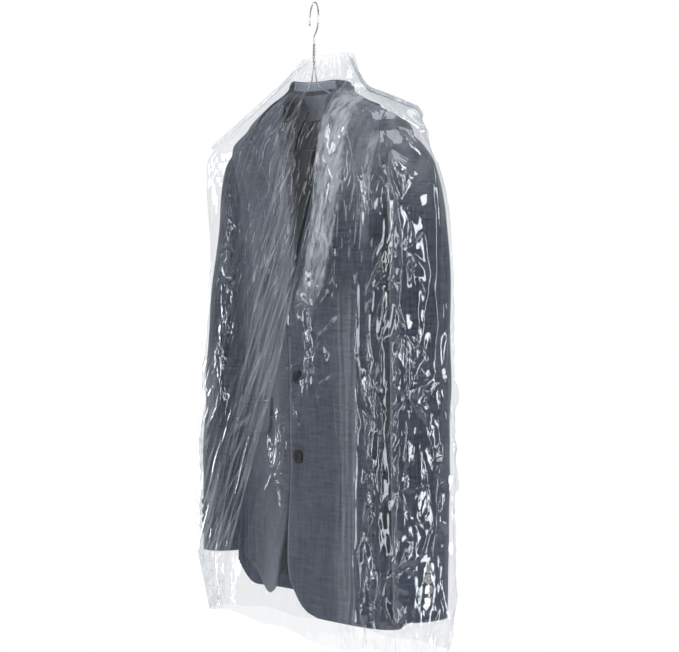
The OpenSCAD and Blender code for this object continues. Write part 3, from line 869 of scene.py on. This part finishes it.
# ---------------------------------------------------------------- pockets and linings
def make_flap(side, turn, cloth):
    """A flap with a soft lower edge and rounded corners, its front end a little higher."""
    front, back = (0.108, 0.200) if turn > 0 else (0.072, 0.196)
    t = np.linspace(0, 1, 30)[None, :]
    q = np.linspace(0, 1, 14)[:, None]
    x = front + (back - front) * t
    top = -0.606 - 0.010 * t
    corner = 0.012 * (np.exp(-t * 22) + np.exp(-(1 - t) * 22))
    height = 0.048 - corner
    z = top - height * q
    off = 0.0025 + 0.0022 * q + 0.0012 * np.sin(q * math.pi)
    x = turn * (x + 0.004 * q * (1 - 2 * t))
    points = body_point(body_angle(x, z), z, off)[:, ::turn]
    ob = grid_object(f"{side}_flap_cloth", points, thickness=0.0022)
    finish_piece(ob, cloth, "suit_cloth", "jacket", f"{side}_pocket_flap")
    x = turn * (front - 0.002 + (back - front + 0.004) * t) + np.zeros_like(q)
    z = -0.6005 - 0.010 * t - 0.005 * q + np.zeros_like(x)
    points = body_point(body_angle(x, z), z, 0.0022 + 0.0008 * np.sin(q * math.pi))[:, ::turn]
    jet = grid_object(f"{side}_pocket_jet", points, thickness=0.0016)
    finish_piece(jet, cloth, "suit_cloth", "jacket")


def make_welt(cloth):
    """The chest pocket's welt, a little higher at its outer end."""
    t = np.linspace(0, 1, 20)[None, :]
    q = np.linspace(0, 1, 6)[:, None]
    x = 0.104 + 0.083 * t + 0 * q
    z = -0.356 + 0.008 * t - 0.022 * q
    ob = grid_object("chest_welt_cloth", body_point(body_angle(x, z), z, 0.0026), thickness=0.0020)
    finish_piece(ob, cloth, "suit_cloth", "jacket", "chest_welt")


def make_linings(lining, facing):
    """Thin sheets inside the cloth: both fronts, the back and the facing of the neck."""
    top, bottom, inside = -0.222, -0.882, -0.0052
    zs = levels(top, bottom, 0.012)
    left = panel("left_lining_cloth", lambda z: body_angle(left_edge(z) + 0.002, z),
                 degrees(side_front), zs, 20, inside, 0.0)
    right = panel("right_lining_cloth", degrees(side_front, True),
                  lambda z: body_angle(right_edge(z) - 0.002, z), zs, 20, inside, 0.0)
    back = panel("back_lining_cloth", degrees(side_back), lambda z: np.radians(360 - side_back(z)),
                 levels(-0.165, bottom, 0.012), 50, inside, 0.0)
    finish_piece(left, lining, "lining", "jacket", "left_body_lining")
    finish_piece(right, lining, "lining", "jacket", "right_body_lining")
    finish_piece(back, lining, "lining", "jacket", "back_body_lining")
    reach = profile((SHOULDER_Z, 160), (-0.150, 148), (NECK_Z, 116))
    neck = panel("back_neck_facing_cloth", lambda z: np.radians(reach(z)),
                 lambda z: np.radians(360 - reach(z)),
                 levels(NECK_Z - 0.002, SHOULDER_Z, 0.004), 40, -0.0035, 0.0)
    finish_piece(neck, facing, "facing_cloth", "jacket", "back_neck_facing")


def make_pads():
    """The shoulder pads, thin and close under the cloth."""
    wadding = cloth_material("pad_wadding", (0.16, 0.16, 0.17), (0.30, 0.30, 0.31), 0.95, 0.003)
    for side, turn in (("left", 1), ("right", -1)):
        a = turn * np.radians(np.linspace(50, 130, 24))[None, ::turn]
        zs = np.linspace(-0.168, -0.196, 12)[:, None]
        a, z = a + 0 * zs, zs + 0 * a
        upper = body_point(a, z, -0.0040)
        ob = grid_object(f"{side}_shoulder_wadding", upper, thickness=0.005)
        finish_piece(ob, wadding, "padding", "jacket", f"{side}_shoulder_pad")


# ---------------------------------------------------------------- film
# Where the film's left and right edges hang when it isn't held further out by the jacket
film_low = profile(
    (BAG_HEM_Z, -0.266), (-0.900, -0.272), (-0.727, -0.276), (-0.600, -0.274), (-0.496, -0.272),
    (-0.366, -0.280), (-0.280, -0.293), (-0.225, -0.295), (-0.207, -0.288), (-0.190, -0.254),
    (-0.160, -0.182), (-0.130, -0.110), (-0.105, -0.052), (BAG_NECK_Z, -0.010)
)
film_high = profile(
    (BAG_HEM_Z, 0.262), (-0.900, 0.278), (-0.760, 0.286), (-0.660, 0.290), (-0.500, 0.288), (-0.380, 0.290),
    (-0.289, 0.281), (-0.249, 0.270), (-0.215, 0.258), (-0.188, 0.240), (-0.178, 0.216), (-0.160, 0.168),
    (-0.146, 0.130), (-0.120, 0.104), (-0.100, 0.090), (BAG_NECK_Z, 0.080)
)
neck_flat = profile((-0.130, 0.0), (-0.100, 0.010), (BAG_NECK_Z, 0.012))
front_gap = profile(
    (BAG_HEM_Z, 0.011), (-0.800, 0.009), (-0.500, 0.008), (-0.300, 0.006), (-0.200, 0.004),
    (BAG_NECK_Z, 0.002)
)
film_noise = make_noise(5)


def jacket_points():
    """Every point of the jacket that the film hangs over."""
    found = []
    for ob in bpy.data.objects:
        if ob.type == "MESH" and ob.name.endswith("_cloth") and "lining" not in ob.name:
            co = np.empty(len(ob.data.vertices) * 3)
            ob.data.vertices.foreach_get("co", co)
            found.append(co.reshape(-1, 3))
    return np.concatenate(found)


def film_rings(rows):
    """At each level, the taut outline round the jacket and the film's own edges, a little slack.

    A film can't hang inwards under a shoulder at once, so a level keeps nearly the reach of the one above.
    """
    points = jacket_points()
    points = points[np.argsort(points[:, 2])]
    angles = np.radians(np.arange(0, 360, 0.5))
    facing = np.stack([np.cos(angles), np.sin(angles)])
    step = 0.006
    coarse = np.arange(BAG_NECK_Z, rows[-1] - step, -step)
    reach = []
    for z in coarse:
        first, last = np.searchsorted(points[:, 2], (z - 0.005, z + 0.005))
        flat = float(neck_flat(z))
        edges = [(float(edge(z)), y) for edge in (film_low, film_high) for y in (-flat, flat)]
        ring = np.concatenate([np.array(edges), points[first:last, :2]])
        held = (ring[4:] @ facing).max(axis=0) if len(ring) > 4 else np.full(len(angles), -1.0)
        loose = front_gap(z) + 0.006 * smooth((-0.86 - z) / 0.08) * np.clip(-facing[1], 0, 1)
        row = np.maximum((ring[:4] @ facing).max(axis=0) + 0.001, held + loose)
        if reach:
            row = np.maximum(row, reach[-1] - 0.0013)
        reach.append(row)
    reach = np.array(reach)
    for _ in range(3):
        reach[1:-1] = (reach[:-2] + 2 * reach[1:-1] + reach[2:]) / 4
    soft = np.exp(-((np.arange(-10, 11) * 0.5 / 2.2) ** 2))
    padded = np.concatenate([reach[:, -10:], reach, reach[:, :10]], axis=1)
    reach = np.stack([np.convolve(row, soft / soft.sum(), "valid") for row in padded])
    wanted = np.stack([np.interp(-rows, -coarse, column) for column in reach.T], axis=1)
    turn = (np.roll(wanted, -1, axis=1) - np.roll(wanted, 1, axis=1)) / np.radians(1.0)
    x = wanted * facing[0] - turn * facing[1]
    y = wanted * facing[1] + turn * facing[0]
    return x, y


def spread(x, y, share):
    """Points along a line at shares of its length."""
    gone = np.concatenate([[0], np.cumsum(np.hypot(np.diff(x), np.diff(y)))])
    gone += np.arange(len(gone)) * 1e-9
    return np.interp(share * gone[-1], gone, x), np.interp(share * gone[-1], gone, y)


# The film's columns: over the front, over the back, and each gusset's share of the front and of the back
FRONT_COLS = 340
BACK_COLS = 170
SIDE_COLS = 35
TURN_COLS = 18
# What the front and back panels and the gussets were cut to, in metres
FLAT_FACE = (0.60, 0.88)
FLAT_GUSSET = (0.11, 0.88)


def film_grid(rows):
    """The film's smooth shape: columns run from the right edge over the front to the left edge, then back."""
    xs, ys = film_rings(rows)
    grid = np.empty((len(rows), FRONT_COLS + BACK_COLS, 3))
    for i, z in enumerate(rows):
        x, y = xs[i], ys[i]
        low, high = int(np.argmin(x)), int(np.argmax(x))
        front = np.arange(low, high + 1 + (len(x) if high < low else 0)) % len(x)
        back = np.arange(high, low + 1 + (len(x) if low < high else 0)) % len(x)
        fx, fy = spread(x[front], y[front], np.arange(FRONT_COLS) / FRONT_COLS)
        bx, by = spread(x[back], y[back], np.arange(BACK_COLS) / BACK_COLS)
        grid[i, :, 0] = np.concatenate([fx, bx])
        grid[i, :, 1] = np.concatenate([fy, by])
        grid[i, :, 2] = z
    return grid


def ridge(across, along, width, length):
    """A sharp crease that runs along one direction and fades at both ends."""
    return np.exp(-np.abs(across) / width) * np.exp(-((along / length) ** 4))


class Folds:
    """Adds folds to a height map over the unrolled film, where s runs round it and z down it."""

    def __init__(self, grid):
        middle = grid[len(grid) // 2]
        step = np.linalg.norm(np.roll(middle, -1, axis=0) - middle, axis=1)
        self.girth = float(step.sum())
        run = np.concatenate([[0], np.cumsum(step)[:-1]])
        self.z = grid[..., 2]
        self.s = run[None, :] + 0 * self.z
        self.height = np.zeros(self.s.shape)
        self.rng = np.random.default_rng(40)

    def from_place(self, s0):
        return (self.s - s0 + self.girth / 2) % self.girth - self.girth / 2

    def field(self, turn, fine, long, shift=0.0):
        """Noise stretched along a line that leans by an angle from upright; a period fits the girth."""
        bearing = TAU * self.s / self.girth
        radius = self.girth / TAU
        lean = math.tan(math.radians(turn)) * (self.z + 0.5) / radius
        around = bearing - lean
        p = [np.cos(around) * radius * fine, np.sin(around) * radius * fine, self.z * long + shift]
        return film_noise(np.stack(p, axis=-1))

    def facets(self, turn, wide, high, tall, mask):
        """Flat facets with straight creases between them, wide by high metres, leaning from upright."""
        count = max(3, int(round(self.girth / wide)))
        rows = int(1.2 / high) + 4
        dots = self.rng.uniform(0.1, 0.9, (count, rows, 2))
        u = (self.s - math.tan(math.radians(turn)) * (self.z + 0.5)) / self.girth * count
        v = (self.z + 1.1) / high
        i, j = np.floor(u).astype(int), np.floor(v).astype(int)
        spots, gaps = [], []
        for di in (-1, 0, 1):
            for dj in (-1, 0, 1):
                dot = dots[(i + di) % count, np.clip(j + dj, 0, rows - 1)]
                spot = dot + np.stack([i + di, j + dj], axis=-1)
                spots.append(spot)
                gaps.append((spot[..., 0] - u) ** 2 + (spot[..., 1] - v) ** 2)
        spots, gaps = np.array(spots), np.array(gaps)
        order = np.argsort(gaps, axis=0)[:2]
        near, next_one = np.take_along_axis(gaps, order, axis=0)
        ends = np.take_along_axis(spots, order[..., None], axis=0)
        apart = np.maximum(np.linalg.norm(ends[1] - ends[0], axis=-1), 1e-6)
        self.height += tall * mask * ((next_one - near) / (2 * apart) - 0.2)

    def line(self, tall, width, *way):
        """A fold along a way of (level, place) pairs; it wanders a little and fades at both ends."""
        top, bottom = max(z for z, _ in way), min(z for z, _ in way)
        shift = self.rng.uniform(0, 40)
        z = self.z[:, :1]

        def drift(rate, layer):
            """One slow random curve down the film, for this fold only."""
            return film_noise(np.concatenate([z * rate, z * 0 + shift, z * 0 + layer], axis=1))[:, None]

        across = self.from_place(profile(*way)(self.z)) + (drift(9, 0) * 0.005 + drift(45, 3) * 0.0015)
        ends = smooth((top - self.z) / 0.04) * smooth((self.z - bottom) / 0.04)
        self.height += tall * (0.65 + 0.5 * drift(14, 9)) * ends * np.exp(-np.abs(across) / width)

    def crease(self, s0, z0, turn, tall, width, length, bend=0.0):
        ds = self.from_place(s0)
        dz = self.z - z0
        near = (np.abs(ds) < length * 1.3) & (np.abs(dz) < length * 1.3)
        ds, dz = ds[near], dz[near]
        across = ds * math.cos(turn) - dz * math.sin(turn)
        along = ds * math.sin(turn) + dz * math.cos(turn)
        across = across + bend * along * along
        self.height[near] += tall * ridge(across, along, width, length)

    def creases(self, count, box, lean, tall, width, length):
        """Scatters creases over a box of the film."""
        rng = self.rng
        for _ in range(count):
            size = rng.uniform(*tall) * rng.choice((-1, 1), p=(0.4, 0.6))
            self.crease(rng.uniform(*box[0]), rng.uniform(*box[1]), math.radians(rng.normal(*lean)), size,
                        rng.uniform(*width), rng.uniform(*length), rng.normal(0, 0.5))

    def star(self, s0, z0, radius, slope, points, stretch=0.6):
        """A crumple: straight ridges and valleys that run out from one point."""
        rng = self.rng
        ds = self.from_place(s0)
        dz = (self.z - z0) * stretch
        r = np.hypot(ds, dz)
        near = r < radius * 2.2
        bearing = np.arctan2(dz[near], ds[near])
        knots = np.sort(rng.uniform(-math.pi, math.pi, points))
        tops = rng.uniform(0.3, 1.0, points) * np.where(np.arange(points) % 2, 1, -1)
        zigzag = np.interp(bearing, knots, tops, period=TAU)
        self.height[near] += slope * r[near] * np.exp(-((r[near] / radius) ** 2)) * zigzag


# Crumples where the film is held out: how many, place round the film, its scatter, top, bottom and slope
CRUMPLES = (
    (4, 0.360, 0.018, -0.43, -0.56, 0.42), (2, 0.295, 0.030, -0.64, -0.72, 0.40),
    (3, 0.500, 0.012, -0.62, -0.90, 0.46), (7, 0.560, 0.020, -0.30, -0.90, 0.46),
    (3, 0.116, 0.010, -0.35, -0.51, 0.44), (2, 0.615, 0.012, -0.55, -0.77, 0.40)
)
# The slanting swathe of folds: the levels of its head and foot, then the place of each edge at the head
# and at the foot, and the power that bows it
SWATHE_HEAD_Z = -0.150
SWATHE_FOOT_Z = -0.930
INNER_EDGE = (0.465, 0.108, 1.04)
OUTER_EDGE = (0.345, 0.085, 1.50)
# Upright folds on the wearer's left: place, top, bottom, height and width
UPRIGHTS = (
    (0.474, -0.40, -0.96, 0.0032, 0.0035), (0.437, -0.42, -0.96, 0.0014, 0.0050),
    (0.500, -0.44, -0.95, 0.0042, 0.0035), (0.528, -0.37, -0.94, 0.0022, 0.0030),
    (0.561, -0.24, -0.94, 0.0046, 0.0035), (0.586, -0.41, -0.95, 0.0024, 0.0030),
    (0.612, -0.28, -0.95, 0.0038, 0.0035), (0.640, -0.30, -0.95, 0.0030, 0.0040),
    (0.545, -0.20, -0.40, 0.0034, 0.0045), (0.488, -0.18, -0.38, 0.0020, 0.0030),
    (0.515, -0.18, -0.34, 0.0008, 0.0040), (0.104, -0.28, -0.56, 0.0030, 0.0030),
    (0.124, -0.30, -0.62, 0.0034, 0.0030)
)
# Short straight folds: place, level, lean in degrees, height, width and half length
SHORTS = (
    (0.582, -0.424, -36, 0.0050, 0.0030, 0.030), (0.592, -0.288, -72, 0.0052, 0.0035, 0.026),
    (0.598, -0.240, -34, 0.0044, 0.0030, 0.030), (0.576, -0.268, -58, 0.0036, 0.0030, 0.022),
    (0.494, -0.290, -6, 0.0046, 0.0035, 0.034), (0.604, -0.205, -50, 0.0036, 0.0030, 0.030),
    (0.556, -0.842, -68, 0.0040, 0.0030, 0.022), (0.590, -0.802, 20, 0.0044, 0.0030, 0.040),
    (0.300, -0.690, 14, 0.0020, 0.0025, 0.030), (0.330, -0.620, -22, 0.0016, 0.0025, 0.040)
)

# Scattered creases: how many, the ranges of their place and level, the mean and spread of their lean in
# degrees, and the ranges of their height, width and half length
CREASES = (
    (34, ((0.06, 0.33), (-0.84, -0.18)), (27, 4), (0.0003, 0.0009), (0.0022, 0.0036), (0.06, 0.18)),
    (34, ((0.485, 0.66), (-0.93, -0.38)), (0, 12), (0.0010, 0.0034), (0.0020, 0.0042), (0.03, 0.10)),
    (16, ((0.485, 0.66), (-0.93, -0.24)), (0, 55), (0.0008, 0.0024), (0.0020, 0.0040), (0.01, 0.04)),
    (24, ((0.40, 0.48), (-0.42, -0.17)), (16, 16), (0.0005, 0.0014), (0.0020, 0.0040), (0.012, 0.05)),
    (26, ((0.090, 0.135), (-0.62, -0.26)), (0, 40), (0.0008, 0.0026), (0.0020, 0.0036), (0.01, 0.04)),
    (34, ((0.520, 0.566), (-0.435, -0.375)), (0, 60), (0.0008, 0.0022), (0.0015, 0.0026), (0.004, 0.014)),
    (26, ((0.320, 0.385), (-0.52, -0.42)), (20, 50), (0.0008, 0.0020), (0.0015, 0.0026), (0.004, 0.016)),
    (16, ((0.490, 0.512), (-0.93, -0.56)), (0, 24), (0.0016, 0.0036), (0.0020, 0.0034), (0.015, 0.05)),
    (16, ((0.552, 0.600), (-0.93, -0.50)), (0, 24), (0.0016, 0.0036), (0.0020, 0.0034), (0.015, 0.05)),
    (22, ((0.31, 0.42), (-0.60, -0.42)), (20, 40), (0.0006, 0.0018), (0.0020, 0.0032), (0.008, 0.03))
)


def edge_place(z, edge):
    """The place round the film of an edge of the swathe at a level."""
    head, foot, bow = edge
    risen = np.clip((z - SWATHE_FOOT_Z) / (SWATHE_HEAD_Z - SWATHE_FOOT_Z), 0, 1)
    return foot + (head - foot) * risen**bow


def between(share):
    """A way down the swathe, part of the distance from its outer edge to its inner edge."""
    return [
        (z, float(edge_place(z, OUTER_EDGE) * (1 - share) + edge_place(z, INNER_EDGE) * share))
        for z in np.linspace(SWATHE_HEAD_Z, SWATHE_FOOT_Z, 9)
    ]


def fold_film(folds):
    girth, z, s = folds.girth, folds.z, folds.s
    inner = edge_place(z, INNER_EDGE)
    swathe = smooth((inner - s) / 0.02) * smooth((s - 0.02) / 0.05)
    side = smooth((s - 0.475) / 0.03) * smooth((0.72 - s) / 0.05)
    side_low = side * smooth((-0.42 - z) / 0.12)
    far = np.exp(-(((s - 0.114) / 0.022) ** 2)) * smooth((-0.26 - z) / 0.06) * smooth((z + 0.62) / 0.10)
    lapel = np.exp(-(((s - inner - 0.035) / 0.032) ** 2)) * smooth((z + 0.50) / 0.10)
    back = smooth((s - 0.70) / 0.05)
    folds.height += 0.0020 * folds.field(0, 8, 2.0) + 0.0006 * folds.field(14, 24, 3.0, 4)
    strips = np.exp(-(((s - 0.500) / 0.011) ** 2)) + np.exp(-(((s - 0.562) / 0.012) ** 2))
    strips = strips + 0.7 * smooth((s - 0.600) / 0.02)
    cluster = side_low * np.clip(strips, 0, 1)
    folds.facets(28, 0.026, 0.200, 0.0024, swathe)
    folds.facets(30, 0.012, 0.120, 0.0006, swathe)
    folds.facets(4, 0.045, 0.180, 0.0020, 0.6 - 0.3 * swathe)
    folds.facets(2, 0.030, 0.120, 0.0034, np.maximum(side * (0.22 + 0.5 * smooth((-0.42 - z) / 0.1)), back))
    crushed = np.maximum(cluster, np.maximum(0.6 * far, 0.15 * lapel))
    folds.facets(3, 0.050, 0.095, 0.0085, side_low * 0.9)
    folds.facets(6, 0.026, 0.046, 0.0065, crushed)
    coarse, fine = folds.field(4, 42, 26, 31), folds.field(-10, 80, 55, 37)
    folds.height += 0.0024 * coarse * crushed + 0.0006 * fine * crushed
    folds.facets(-12, 0.012, 0.024, 0.0010, np.maximum(cluster, np.maximum(0.9 * far, 0.5 * lapel)))
    folds.line(0.0020, 0.0035, *between(1))
    for share, tall in ((0.0, 0.0014), (0.22, 0.0008), (0.45, 0.0012), (0.62, 0.0007), (0.80, 0.0011)):
        folds.line(tall, 0.0030, *between(share))
    for place, top, bottom, tall, width in UPRIGHTS:
        folds.line(tall, width, (top, place), (bottom, place))
    for place, level, lean, tall, width, length in SHORTS:
        folds.crease(place, level, math.radians(lean), tall, width, length)
    for scattered in CREASES:
        folds.creases(*scattered)
    all_round = ((0.66, girth + 0.06), (-0.93, -0.22))
    folds.creases(60, all_round, (0, 9), (0.0005, 0.0018), (0.0025, 0.006), (0.04, 0.18))
    rng = folds.rng
    for count, place, scatter, top, bottom, slope in CRUMPLES:
        for level in np.linspace(top, bottom, count):
            folds.star(place + scatter * rng.uniform(-1, 1), level + 0.02 * rng.uniform(-1, 1),
                       rng.uniform(0.017, 0.025), slope, rng.integers(9, 16))
    # The film lies flatter over the left cuff's buttons
    by_buttons = np.exp(-(((s - 0.604) / 0.022) ** 2) - ((z + 0.845) / 0.045) ** 2)
    folds.height *= 1 - 0.9 * np.minimum(1, 1.6 * by_buttons)
    for _ in range(30):
        folds.star(rng.uniform(0.48, girth + 0.12), rng.uniform(-0.92, -0.24), rng.uniform(0.008, 0.020),
                   rng.uniform(0.10, 0.30), rng.integers(5, 11))
    return folds.height


def make_film(film):
    rows = np.concatenate([levels(BAG_NECK_Z, -0.225, 0.0022), levels(-0.2277, BAG_HEM_Z, 0.0027)])
    grid = film_grid(rows)
    normals = grid_normals(grid, closed=True)
    folds = Folds(grid)
    height = np.maximum(fold_film(folds), -front_gap(folds.z) * 0.7)
    height *= smooth((BAG_NECK_Z - folds.z) / 0.10) * 0.85 + 0.15
    points = grid + normals * height[..., None]
    points[..., 2] += 0.010 * folds.field(0, 9, 0.0) * smooth((-0.80 - folds.z) / 0.14)
    all_cols = FRONT_COLS + BACK_COLS
    seam, turn_back, far_back = FRONT_COLS - SIDE_COLS, FRONT_COLS + TURN_COLS, all_cols - TURN_COLS
    ends = {
        "bag_front_film": (SIDE_COLS, seam, "bag_front", FLAT_FACE),
        "bag_left_gusset_film": (seam, turn_back, "bag_left_gusset", FLAT_GUSSET),
        "bag_back_film": (turn_back, far_back, "bag_back", FLAT_FACE),
        "bag_right_gusset_film": (far_back, all_cols + SIDE_COLS, "bag_right_gusset", FLAT_GUSSET),
    }
    for name, (first, last, node, flat) in ends.items():
        columns = np.arange(first, last + 1) % all_cols
        ob = grid_object(name, points[:, columns])
        finish_piece(ob, film, "film", "bag", node)


def make_seals(film):
    """The welded edge that stands up along each shoulder."""
    for side, edge, turn in (("left", film_high, 1), ("right", film_low, -1)):
        zs = levels(BAG_NECK_Z, -0.200, 0.002)
        x = edge(zs)
        up = np.linspace(0, 1, 4)[None, :]
        rise = smooth((BAG_NECK_Z - zs) / 0.02)[:, None]
        ripple = film_noise(np.stack([x * 60, x * 0 + turn, x * 0], axis=-1))[:, None] * 0.0012
        points = np.stack([
            x[:, None] + turn * 0.0030 * up * rise,
            ripple * up + 0 * up,
            zs[:, None] + 0.0060 * up * rise,
        ], axis=-1)
        ob = grid_object(f"bag_{side}_seal_film", points, thickness=0.0002, offset=0.0)
        finish_piece(ob, film, "film_seal", "bag", f"bag_{side}_seal")


# ---------------------------------------------------------------- putting it together
make_camera()
make_lights()
make_floor()

suit = cloth_material("suit_worsted", (0.0150, 0.0220, 0.0405), (0.0775, 0.1000, 0.1550))
# The facing's own lighter grey-blue, raised further as painted light for the light that comes in through the
# film onto the neck facing and collar stand.
facing = cloth_material("facing_worsted_painted_light", (0.290, 0.335, 0.420), (0.500, 0.560, 0.660))
satin = lining_material()
wire = wire_material()
horn = button_material()

for node, ob in frame["nodes"].items():
    if node.startswith("hanger"):
        ob.data.materials.clear()
        ob.data.materials.append(wire)
    elif node.endswith("buttons"):
        ob.data.materials.clear()
        ob.data.materials.append(horn)

make_body(suit)
make_lapel("left", left_edge, suit, 1)
make_lapel("right", right_edge, suit, -1)
make_collar(suit, facing)
make_sleeve("left", 1, LEFT_CUFF_Z, LEFT_SLEEVE, suit, satin)
make_sleeve("right", -1, RIGHT_CUFF_Z, RIGHT_SLEEVE, suit, satin)
make_flap("left", 1, suit)
make_flap("right", -1, suit)
make_welt(suit)
make_linings(satin, facing)
make_pads()
make_film(film_material("film_clear", 0.035, 0.036))
make_seals(film_material("film_welded", 0.16, 0.12))
